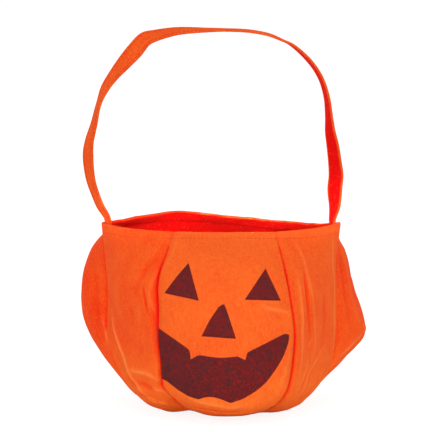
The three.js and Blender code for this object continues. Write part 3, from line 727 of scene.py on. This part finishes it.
def sheet_object(name, sheet):
    """A closed sheet between its outer and its inner grid."""
    out, back = np.arange(sheet.size // 3).reshape(sheet.shape[:3]).tolist()
    top = len(out[0]) - 1
    faces = []
    for a, b, c, d in zip(out, out[1:], back, back[1:]):
        for j in range(top):
            faces.append((a[j], a[j + 1], b[j + 1], b[j]))
            faces.append((c[j], d[j], d[j + 1], c[j + 1]))
        faces.append((a[0], b[0], d[0], c[0]))
        faces.append((a[top], c[top], d[top], b[top]))
    for j in range(top):
        faces.append((out[0][j], back[0][j], back[0][j + 1], out[0][j + 1]))
        faces.append((out[-1][j], out[-1][j + 1], back[-1][j + 1], back[-1][j]))
    return new_object(name, sheet.reshape(-1, 3), faces)


def tube_faces(rings, sides, first=0):
    """Faces of a closed tube of rings of vertices, counted from the first."""
    low = first + np.arange(rings * sides).reshape(rings, sides)
    after = np.roll(low, -1, axis=1)
    walls = np.stack([low[:-1], after[:-1], after[1:], low[1:]], axis=-1)
    return walls.reshape(-1, 4).tolist() + [low[0, ::-1].tolist(), low[-1].tolist()]


def paint(piece, name, values):
    """Marks a mesh's vertices for its material."""
    attribute = piece.data.attributes.new(name, "FLOAT", "POINT")
    attribute.data.foreach_set("value", np.asarray(values, np.float32).ravel())


def inner_shade_marks(gore, shape):
    """How much of the inside's painted shade, a deep red, a gore's outer grid shows: all of it in the
    allowances and the hem's inner side, and some in the grooves at the seams and beside the face's left
    seam."""
    inside = np.zeros(shape)
    inside[:, -(HEM_ROWS + 2):] = 1
    lit = np.ones(shape[1])
    lit[FOOT_ROWS + WALL_ROWS - 3:] = 0
    # Painted shade, a deep red, in the seams' grooves
    for seam, columns in ((gore, inside), ((gore + 1) % len(GORES), inside[::-1])):
        red = SEAM_SHADE_REDS[SEAM_NAMES[seam]] * lit
        for column, share in zip(columns[ALLOWANCE_COLUMNS:], GROOVE_SHADE_SHARES):
            np.maximum(column, red * share, out=column)
    # Painted shade, a bright red, in the hollow beside the face's left seam
    if GORES[gore] == "front_left":
        hollow = np.interp(heights, SHADED_HOLLOW_HEIGHTS, (0, 1, 1, 0))
        columns = inside[::-1, FOOT_ROWS:FOOT_ROWS + len(heights)][ALLOWANCE_COLUMNS:]
        for column, share in zip(columns, SHADED_HOLLOW_SHARES):
            np.maximum(column, share * hollow, out=column)
    inside[:ALLOWANCE_COLUMNS], inside[-ALLOWANCE_COLUMNS:], inside[:, :ALLOWANCE_ROWS] = 1, 1, 1
    return inside


def make_panel(gore):
    """A gore of felt, marked for its material, and the grid of its outer face."""
    sheet, inward, lift, crest_highlight = panel_grids(gore)
    sheet = with_foot(with_hem(sheet, inward))
    sheet[..., 2] += ground_lift(sheet)
    piece = sheet_object(f"{GORES[gore]}_panel_felt", sheet)
    shape = sheet.shape[1:3]
    hem_rows = shape[1] - len(heights) - FOOT_ROWS
    for name, mark in (("lift", lift), ("crest_highlight", crest_highlight)):
        paint(piece, name, [repeat_ends(mark, FOOT_ROWS + 1, hem_rows + 1, axis=1)] * 2)
    # Painted shade: the deep red inside and in the grooves, and the sheet's share of the redder colour of
    # shaded sides
    paint(piece, "inside", [inner_shade_marks(gore, shape), np.ones(shape)])
    paint(piece, "shade_redness", np.full(sheet.shape[:3], SHEETS[GORES[gore]][0]))
    return piece, sheet[0]


# Materials


def put(tree, socket, value):
    """Sets a node's input, or links it to the output that is given."""
    if isinstance(value, bpy.types.NodeSocket):
        tree.links.new(value, socket)
    else:
        socket.default_value = value


def feed(tree, made, *first, **named):
    """Sets or links a node's inputs, in their order or by name."""
    for socket, value in zip(made.inputs, first):
        put(tree, socket, value)
    for key, value in named.items():
        put(tree, made.inputs[key.replace("_", " ")], value)
    return made


def node(tree, kind, *first, **named):
    return feed(tree, tree.nodes.new(kind), *first, **named)


def noise_at(tree, coordinates, scale, detail, stretch):
    mapping = node(tree, "ShaderNodeMapping", Vector=coordinates, Scale=stretch)
    made = node(tree, "ShaderNodeTexNoise", Vector=mapping.outputs[0], Scale=scale, Detail=detail)
    return made.outputs["Fac"]


def ramp(tree, fac, low, high, low_value, high_value):
    made = node(tree, "ShaderNodeMapRange", Value=fac)
    feed(tree, made, From_Min=low, From_Max=high, To_Min=low_value, To_Max=high_value)
    return made.outputs["Result"]


def grains(tree, coordinates, *grain):
    *noise_kind, low, high, share = grain
    return ramp(tree, noise_at(tree, coordinates, *noise_kind), low, high, 0, share)


def mix_colour(tree, fac, first, second):
    made = node(tree, "ShaderNodeMix", fac)
    made.data_type = "RGBA"
    put(tree, made.inputs[6], first)
    put(tree, made.inputs[7], second)
    return made.outputs[2]


def calculate(tree, operation, first, second):
    made = node(tree, "ShaderNodeMath", first, second)
    made.operation = operation
    return made.outputs[0]


def bumps(tree, coordinates, layers):
    """A normal roughened by layers of noise."""
    normal = None
    for *noise_kind, depth in layers:
        height = noise_at(tree, coordinates, *noise_kind)
        made = node(tree, "ShaderNodeBump", Strength=1.0, Distance=depth, Height=height)
        if normal:
            feed(tree, made, Normal=normal)
        normal = made.outputs["Normal"]
    return normal


def attribute(tree, name):
    made = node(tree, "ShaderNodeAttribute")
    made.attribute_name = name
    return made.outputs["Fac"]


def new_material(name):
    material = bpy.data.materials.new(name)
    material.use_nodes = True
    tree = material.node_tree
    coordinates = node(tree, "ShaderNodeTexCoord").outputs["Object"]
    return material, tree, tree.nodes["Principled BSDF"], coordinates


def felt_material():
    """Brushed felt: mottled dye, with painted shade that makes it redder on its shaded sides, in its
    hollows and inside, and painted light that makes it paler at its foot, on raised cloth and on crests.
    """
    material, tree, shader, coordinates = new_material("felt")
    place = node(tree, "ShaderNodeSeparateXYZ", coordinates)
    lift, crest_highlight = attribute(tree, "lift"), attribute(tree, "crest_highlight")
    # Painted shade: each sheet's share of the redder colour of its sides in shade
    colour = mix_colour(tree, attribute(tree, "shade_redness"), FELT_FACE, FELT_SHADED_SIDE)
    # Painted light at the foot, on raised cloth and on crests, and painted shade in hollows, among the
    # dye's clouds, streaks and flecks
    for share, layer in (
        (ramp(tree, place.outputs["Z"], *FOOT_BOUNCE_LIGHT), FELT_PALE_AND_LIT),
        (grains(tree, coordinates, *CLOUDS), FELT_PALE_AND_LIT),
        (grains(tree, coordinates, *STREAKS), FELT_DEEP_AND_SHADED),
        (grains(tree, coordinates, *FLECKS), FELT_PALE_AND_LIT),
        (ramp(tree, lift, *HIGHLIT_RIDGES), FELT_PALE_AND_LIT),
        (ramp(tree, lift, *SHADED_HOLLOWS), FELT_DEEP_AND_SHADED),
        (ramp(tree, crest_highlight, *HIGHLIT_CRESTS), FELT_CREST_HIGHLIGHT),
    ):
        colour = mix_colour(tree, share, colour, layer)
    # Painted shade: the deep red inside the bag and in the grooves, with its fuzz
    inner = mix_colour(tree, grains(tree, coordinates, *FUZZ), FELT_INNER_SHADE, FELT_FUZZ)
    colour = mix_colour(tree, attribute(tree, "inside"), colour, inner)
    normal = bumps(tree, coordinates, FELT_BUMPS)
    feed(tree, shader, Base_Color=colour, Normal=normal, Roughness=0.9, Specular_IOR_Level=0.05)
    feed(tree, shader, Sheen_Weight=0.03, Sheen_Roughness=0.5, Sheen_Tint=FELT_SHEEN)
    return material


def ink_material():
    """Maroon ink that hasn't filled the felt's nap: red shows through it in flecks, most of
    all low down, and it is darker at the mouth's lower left end."""
    material, tree, shader, coordinates = new_material("ink")
    place = node(tree, "ShaderNodeSeparateXYZ", coordinates)
    low = ramp(tree, place.outputs["Z"], *INK_LOW)
    left = ramp(tree, place.outputs["X"], *INK_LEFT)
    fleck_share = ramp(tree, low, *INK_FLECKING)
    flecks = calculate(tree, "MULTIPLY", grains(tree, coordinates, *INK_FLECKS), fleck_share)
    # Darker towards the mouth's lower left end
    thick = ramp(tree, calculate(tree, "MULTIPLY", low, left), *INK_DARKENING)
    colour = mix_colour(tree, grains(tree, coordinates, *INK_PATCHES), INK_DARK, INK_WARM)
    colour = mix_colour(tree, grains(tree, coordinates, *INK_GRAINS), colour, INK_GRAIN)
    colour = mix_colour(tree, flecks, colour, INK_FLECK)
    colour = mix_colour(tree, thick, colour, INK_DARKER)
    normal = bumps(tree, coordinates, INK_BUMPS)
    feed(tree, shader, Base_Color=colour, Normal=normal, Roughness=0.9, Specular_IOR_Level=0.1)
    return material


def thread_material():
    material, tree, shader, coordinates = new_material("thread")
    colour = mix_colour(tree, grains(tree, coordinates, *STRANDS), THREAD_LIGHT, THREAD_DARK)
    feed(tree, shader, Base_Color=colour, Roughness=0.8, Specular_IOR_Level=0.1)
    return material


felt = felt_material()
ink = ink_material()
thread = thread_material()


def finish_piece(piece, material, slot, *nodes, bends=False):
    """Gives a piece its material and hides the solids that it replaces. It rides on the bag, or
    else stays put with its transform baked in."""
    piece.data.materials.append(material)
    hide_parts(*nodes)
    if bends:
        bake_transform(piece)
    else:
        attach(piece, "bag")
    return piece


# Gores
panel_outers = []
for gore, gore_name in enumerate(GORES):
    panel, panel_outer = make_panel(gore)
    finish_piece(panel, felt, "felt", f"{gore_name}_panel")
    panel_outers.append(panel_outer)


def make_base():
    """A round of felt that turns up at its edge, with a slight waviness inside."""
    radius = BASE_RADIUS - CLEARANCE / 2
    inner, top = radius - FELT, ALLOWANCE + FELT
    under = [(0, 0), (20, 0), (40, 0), (radius - 1.5, 0), (radius - 0.4, 0.4), (radius, 1.5)]
    over = [(radius, top), (inner, top), (inner, 2.0), (inner - 0.4, 1.4)]
    over += [(r, FELT) for r in (inner - 2, 40, 20, 0)]
    vertices, inside, starts = [], [], []
    for i, (r, z) in enumerate(under + over):
        starts.append(len(vertices))
        for k in range(BASE_SIDES if r else 1):
            turn = 2 * pi * k / BASE_SIDES
            x, y = r * cos(turn), r * sin(turn)
            wave = BASE_WAVE * noise.noise(Vector((x, y, 3)) * BASE_NOISE) if z == FELT else 0
            point = np.array([x, y, z + max(wave, -BASE_SAG)])
            vertices.append(point + [0, 0, ground_lift(point)])
            inside.append(float(i >= len(under)))
    faces = []
    for a, b in zip(starts, starts[1:]):
        for k in range(BASE_SIDES):
            after = (k + 1) % BASE_SIDES
            low = (a,) if a == 0 else (a + k, a + after)
            high = (b,) if b == starts[-1] else (b + after, b + k)
            faces.append(low + high)
    piece = new_object("base_felt", vertices, faces)
    # Painted shade: the base's inner side deep red, and its share of the redder colour of shaded sides
    paint(piece, "inside", inside)
    paint(piece, "shade_redness", [BASE_SHADE_REDNESS] * len(vertices))
    return piece


base = finish_piece(make_base(), felt, "felt", "base_panel")


# Strap

hinge = frame["joints"][0]["pos_m"][2] / MM


def strap_section():
    """The folded ribbon's section: rounded edges, and a dent along each row of stitches."""
    half = STRAP_WIDTH / 2
    places = np.linspace(-1, 1, SECTION_POINTS)
    wide = half * np.sin(places * pi / 2)
    full = STRAP_THICKNESS / 2 * (1 - np.abs(places) ** EDGE_ROUNDNESS) ** 0.5
    dent = DENT_DEPTH * np.exp(-(((np.abs(wide) - (half - STRAP_INSET)) / DENT_WIDTH) ** 2))
    top = np.clip(full - dent, 0.1, None)
    upper = list(zip(wide, top))
    lower = list(zip(wide[1:-1][::-1], -top[1:-1][::-1]))
    return np.array(upper + lower)


def strap_ridge(side):
    """How far out the ridge of a sewn end's middle lies."""
    low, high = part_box(f"{side}_strap_end")
    return max(abs(low[0]), abs(high[0])) / MM - END_HALF


strap_ridges = {side: strap_ridge(side) for side in ("left", "right")}


def strap_stops():
    """The strap's middle line with its twist, from one corner of the mouth to the other."""
    left, right = -strap_ridges["left"], strap_ridges["right"]
    foot = RIM_HEIGHT - SEWN_DEPTH
    stops = [(left - out, foot + rise, twist) for out, rise, twist in LEFT_ROOT]
    stops += [(left - LEFT_LEAN + x, hinge + z, twist) for x, z, twist in LEFT_ROUTE]
    stops += [(right + RIGHT_LEAN + x, hinge + z, twist) for x, z, twist in RIGHT_ROUTE]
    return stops + [(right + out, foot + rise, twist) for out, rise, twist in RIGHT_ROOT[::-1]]


def strap_directions():
    """The strap's middle line, with the directions of its width and of its outer face."""
    stops = strap_stops()
    places = np.linspace(0, len(stops) - 1, 6 * len(stops))
    path = catmull_rom([(x, 0, z) for x, z, _ in stops], places)
    twist = np.radians(catmull_rom([(t, 0, 0) for *_, t in stops], places)[:, 0])
    along = unit(np.gradient(path, axis=0))
    forth = np.tile([0.0, 1.0, 0.0], (len(path), 1))
    flat = np.cross(along, forth)
    wide = forth * np.cos(twist)[:, None] + flat * np.sin(twist)[:, None]
    return path, wide, np.cross(along, wide)


strap_ways = strap_directions()
# How steeply the ribbon is creased along its middle, from its sewn ends up to the hinge
crease_top = hinge + CREASE_HEIGHT
strap_folds = tan(END_FOLD) * (1 - smoothstep(strap_ways[0][:, 2:], RIM_HEIGHT - 2, crease_top))


def make_strap():
    path, wide, outward = strap_ways
    section = strap_section()
    rings = []
    for i in range(len(path)):
        away = section[:, 1:] - np.abs(section[:, :1]) * strap_folds[i]
        rings.append(path[i] + section[:, :1] * wide[i] + away * outward[i])
    piece = new_object("strap_felt", np.concatenate(rings), tube_faces(len(rings), len(section)))
    # Painted shade: the strap's inner face deep red, and its share of the redder colour of shaded sides
    inside = (section[:, 1] < -0.3) * (1 - smoothstep(np.abs(section[:, 0]), *INNER_SHADE_EDGE))
    paint(piece, "inside", np.tile(inside, len(rings)))
    paint(piece, "shade_redness", [STRAP_SHADE_REDNESS] * len(piece.data.vertices))
    return piece


strap_nodes = ("handle_strap", "left_strap_end", "right_strap_end")
strap = finish_piece(make_strap(), felt, "strap_felt", *strap_nodes, bends=True)


# Print


def rounded(outline):
    """An outline with its corners rounded."""
    points = []
    for i, (x, y, radius) in enumerate(outline):
        here = np.array([x, y])
        if not radius:
            points.append(here)
            continue
        before = np.array(outline[i - 1][:2]) - here
        after = np.array(outline[(i + 1) % len(outline)][:2]) - here
        start = here + before * min(0.48, radius / np.linalg.norm(before))
        end = here + after * min(0.48, radius / np.linalg.norm(after))
        points += [bend(start, here, end, t) for t in np.linspace(0, 1, 5)]
    return points


def make_prism(name, outline):
    """The space that an outline covers in the photograph, all through the face."""
    points = rounded(outline)
    count = len(points)
    near = [along_ray(p, DISTANCE - FACE_NEAR) for p in points]
    far = [along_ray(p, DISTANCE - FACE_FAR) for p in points]
    faces = [tuple(range(count)), tuple(range(count, 2 * count))[::-1]]
    faces += [(k, count + k, count + (k + 1) % count, (k + 1) % count) for k in range(count)]
    prism = new_object(f"{name}_prism", near + far, faces)
    shape = bmesh.new()
    shape.from_mesh(prism.data)
    bmesh.ops.recalc_face_normals(shape, faces=shape.faces)
    shape.to_mesh(prism.data)
    shape.free()
    return prism


def make_print(name, outline, slab):
    """A film of ink: the part of a thin skin over the face that shows inside the outline."""
    prism = make_prism(name, outline)
    piece = add_object(f"{name}_film", slab.data.copy())
    cut = piece.modifiers.new("cut", "BOOLEAN")
    cut.operation = "INTERSECT"
    cut.solver = "EXACT"
    cut.object = prism
    graph = bpy.context.evaluated_depsgraph_get()
    mesh = bpy.data.meshes.new_from_object(piece.evaluated_get(graph))
    piece.modifiers.clear()
    piece.data = mesh
    mesh.materials.clear()
    mesh.shade_smooth()
    mesh.set_sharp_from_angle(angle=radians(40))
    bpy.data.objects.remove(prism)
    return piece


def ink_slab():
    """A thin skin over the whole of the face."""
    columns = slice(ALLOWANCE_COLUMNS, -ALLOWANCE_COLUMNS)
    rows = slice(FOOT_ROWS + 1, FOOT_ROWS + 1 + WALL_ROWS)
    grid = panel_outers[GORES.index("face")][columns, rows]
    outward = -unit(np.cross(np.gradient(grid, axis=0), np.gradient(grid, axis=1)))
    skin = np.stack([grid + outward * INK_ABOVE, grid - outward * INK_BELOW])
    return sheet_object("ink_slab", skin)


slab = ink_slab()
for print_name, print_outline in PRINTS.items():
    finish_piece(make_print(print_name, print_outline, slab), ink, "ink", print_name)
bpy.data.objects.remove(slab)


# Stitches


def stitch_row(name, points, outward, is_loop=False):
    """A row of lockstitches along a path on the felt: each thread dips into it at both ends."""
    points, outward = np.asarray(points, float), np.asarray(outward, float)
    if is_loop:
        points, outward = np.vstack([points, points[:1]]), np.vstack([outward, outward[:1]])
    run = run_along(points)

    def along_run(values, at):
        return np.array([np.interp(at, run, values[:, i]) for i in range(3)])

    count = max(1, int(run[-1] / (STITCH + STITCH_GAP)))
    vertices, faces = [], []
    for k in range(count):
        faces += tube_faces(len(STITCH_PROFILE), THREAD_SIDES, len(vertices))
        for share, thick, rise in STITCH_PROFILE:
            at = run[-1] * k / count + STITCH * share
            out = unit(along_run(outward, at))
            centre = along_run(points, at) + out * rise
            along = unit(along_run(points, at + 0.5) - along_run(points, at - 0.5) + 1e-6)
            aside = unit(np.cross(out, along))
            for turn in np.arange(THREAD_SIDES) * 2 * pi / THREAD_SIDES:
                spoke = out * cos(turn) + aside * sin(turn)
                vertices.append(centre + spoke * THREAD_RADIUS * thick)
    return new_object(name, vertices, faces)


def hem_stitches():
    """The stitch line that holds the hem, on the gores' outer faces."""
    height = 1 - HEM_STITCH_DEPTH * (1 - HEM_SHARE) / HEM_DEPTH
    row = int(np.argmin(np.abs(heights - height))) + FOOT_ROWS
    points, outward = [], []
    for outer in panel_outers:
        rows = outer[SIDE_COLUMNS + 1:-SIDE_COLUMNS - 1, row - 1:row + 2]
        points.append(rows[:, 1])
        outward.append(-unit(np.cross(np.gradient(rows[:, 1], axis=0), rows[:, 2] - rows[:, 0])))
    return stitch_row("hem_stitches", np.concatenate(points), np.concatenate(outward), True)


def seam_stitches(seam):
    """The stitches that join two gores, on the allowance inside the bag."""
    rows = (heights > SEAM_STITCHES[0]) & (heights < SEAM_STITCHES[1])
    into, side = (way[rows] for way in seam_ways[seam])
    depth = seam_dip(seam)[rows, None] + FELT + STITCH_DEPTH
    points = smooth[seam][0][0][rows] + into * depth + seam_shift(seam)[rows]
    return stitch_row(f"{SEAM_NAMES[seam]}_stitches", points + side * (FELT + SEAM_GAP), side)


def base_stitches():
    """The stitches that join the base to the gores, on the allowance inside the bag."""
    turns = np.linspace(0, 2 * pi, BASE_SIDES, endpoint=False)
    ways = np.stack([np.cos(turns), np.sin(turns), 0 * turns], axis=-1)
    points = ways * (BASE_RADIUS - CLEARANCE / 2 - FELT) + [0, 0, FELT + STITCH_DEPTH]
    points[:, 2] += ground_lift(ways * BASE_RADIUS)
    return stitch_row("base_stitches", points, -ways, True)


def strap_stitches(name, inset):
    """One of the two rows that hold the folded strap together, on its outer face."""
    path, wide, outward = strap_ways
    lift = STRAP_THICKNESS / 2 - 0.3 - abs(inset) * strap_folds
    points = path + wide * inset + outward * lift
    return stitch_row(name, points[STRAP_STITCHES], outward[STRAP_STITCHES])


def tack_stitches(side):
    """The stitches that hold a sewn end of the strap in its corner."""
    sign = -1 if side == "left" else 1
    low, high = RIM_HEIGHT - SEWN_DEPTH + STRAP_INSET, RIM_HEIGHT - STRAP_INSET
    half = STRAP_WIDTH / 2 - STRAP_INSET
    corners = [(-half, low), (0, low), (half, low), (half, high), (0, high), (-half, high)]
    reach = strap_ridges[side] - END_HALF
    points = [(sign * (reach - abs(y) * tan(END_FOLD)), y, z) for y, z in corners]
    return stitch_row(f"{side}_tack_stitches", points, [(-sign, 0, 0)] * len(points), True)


finish_piece(hem_stitches(), thread, "thread", "hem_thread")
finish_piece(base_stitches(), thread, "thread", "base_seam_thread")
for seam, seam_name in enumerate(SEAM_NAMES):
    finish_piece(seam_stitches(seam), thread, "thread", f"{seam_name}_seam_thread")
for side in ("left", "right"):
    finish_piece(tack_stitches(side), thread, "thread", f"{side}_strap_tack")
stitched_at = STRAP_WIDTH / 2 - STRAP_INSET
for row_name, inset in (("front", -stitched_at), ("back", stitched_at)):
    row = strap_stitches(f"{row_name}_strap_stitches", inset)
    finish_piece(row, thread, "thread", f"{row_name}_strap_thread", bends=True)


# Stage: floor, lights and camera


def seen_rays(tree):
    """1 for the rays that show the background: the camera's, gloss's and glass's."""
    path = node(tree, "ShaderNodeLightPath")
    seen = path.outputs["Is Camera Ray"]
    for ray in ("Is Glossy Ray", "Is Transmission Ray"):
        seen = calculate(tree, "MAXIMUM", seen, path.outputs[ray])
    return seen


def floor_material():
    """Pale ground that reflects like white paper, and that the camera sees as plain white
    with only a faint shadow."""
    material, tree, shader, _ = new_material("floor_white")
    feed(tree, shader, Base_Color=PAPER, Roughness=1.0, Specular_IOR_Level=0.0)
    faint = node(tree, "ShaderNodeBsdfDiffuse", Color=FLOOR_SHADE).outputs[0]
    glow = node(tree, "ShaderNodeEmission", Color=WHITE, Strength=FLOOR_GLOW).outputs[0]
    seen = node(tree, "ShaderNodeAddShader", faint, glow).outputs[0]
    mix = node(tree, "ShaderNodeMixShader", seen_rays(tree), shader.outputs[0], seen)
    feed(tree, tree.nodes["Material Output"], Surface=mix.outputs[0])
    return material


def make_floor():
    mesh = bpy.data.meshes.new("floor")
    half = FLOOR_SIZE / 2
    corners = [(-half, -half), (half, -half), (half, half), (-half, half)]
    mesh.from_pydata([(x, y, FLOOR_HEIGHT) for x, y in corners], [], [(0, 1, 2, 3)])
    mesh.materials.append(floor_material())
    return add_object("floor", mesh)


def area_light(name, at, aim, size, power):
    light = bpy.data.lights.new(name, "AREA")
    light.shape = "DISK"
    light.size = size
    light.energy = power
    made = add_object(name, light)
    made.location = at
    made.rotation_euler = (Vector(aim) - Vector(at)).to_track_quat("-Z", "Y").to_euler()
    return light


def make_world():
    """A world that lights softly, and that the camera sees as plain white."""
    world = bpy.data.worlds.new("studio")
    world.use_nodes = True
    bpy.context.scene.world = world
    tree = world.node_tree
    tree.nodes.clear()
    light = node(tree, "ShaderNodeBackground", Color=WHITE, Strength=WORLD_LIGHT).outputs[0]
    white = node(tree, "ShaderNodeBackground", Color=WHITE, Strength=1.0).outputs[0]
    mix = node(tree, "ShaderNodeMixShader", seen_rays(tree), light, white)
    node(tree, "ShaderNodeOutputWorld", Surface=mix.outputs[0])


def make_camera():
    camera = bpy.data.cameras.new("camera")
    camera.sensor_width = SENSOR
    camera.lens = SENSOR * DISTANCE / (PICTURE * PIXEL)
    camera.clip_end = 100
    made = add_object("camera", camera)
    made.location = EYE * MM
    made.rotation_euler = (pi / 2 - ELEVATION, 0, 0)
    bpy.context.scene.camera = made


make_floor()
make_world()
lamps = {name: area_light(name, *values) for name, values in LAMPS.items()}
lamps["low"].spread = LOW_SPREAD
lamps["strip"].shape = "RECTANGLE"
lamps["strip"].size_y = STRIP_HEIGHT
lamps["strip"].spread = STRIP_SPREAD
make_camera()
bpy.context.scene.view_settings.view_transform = "Standard"
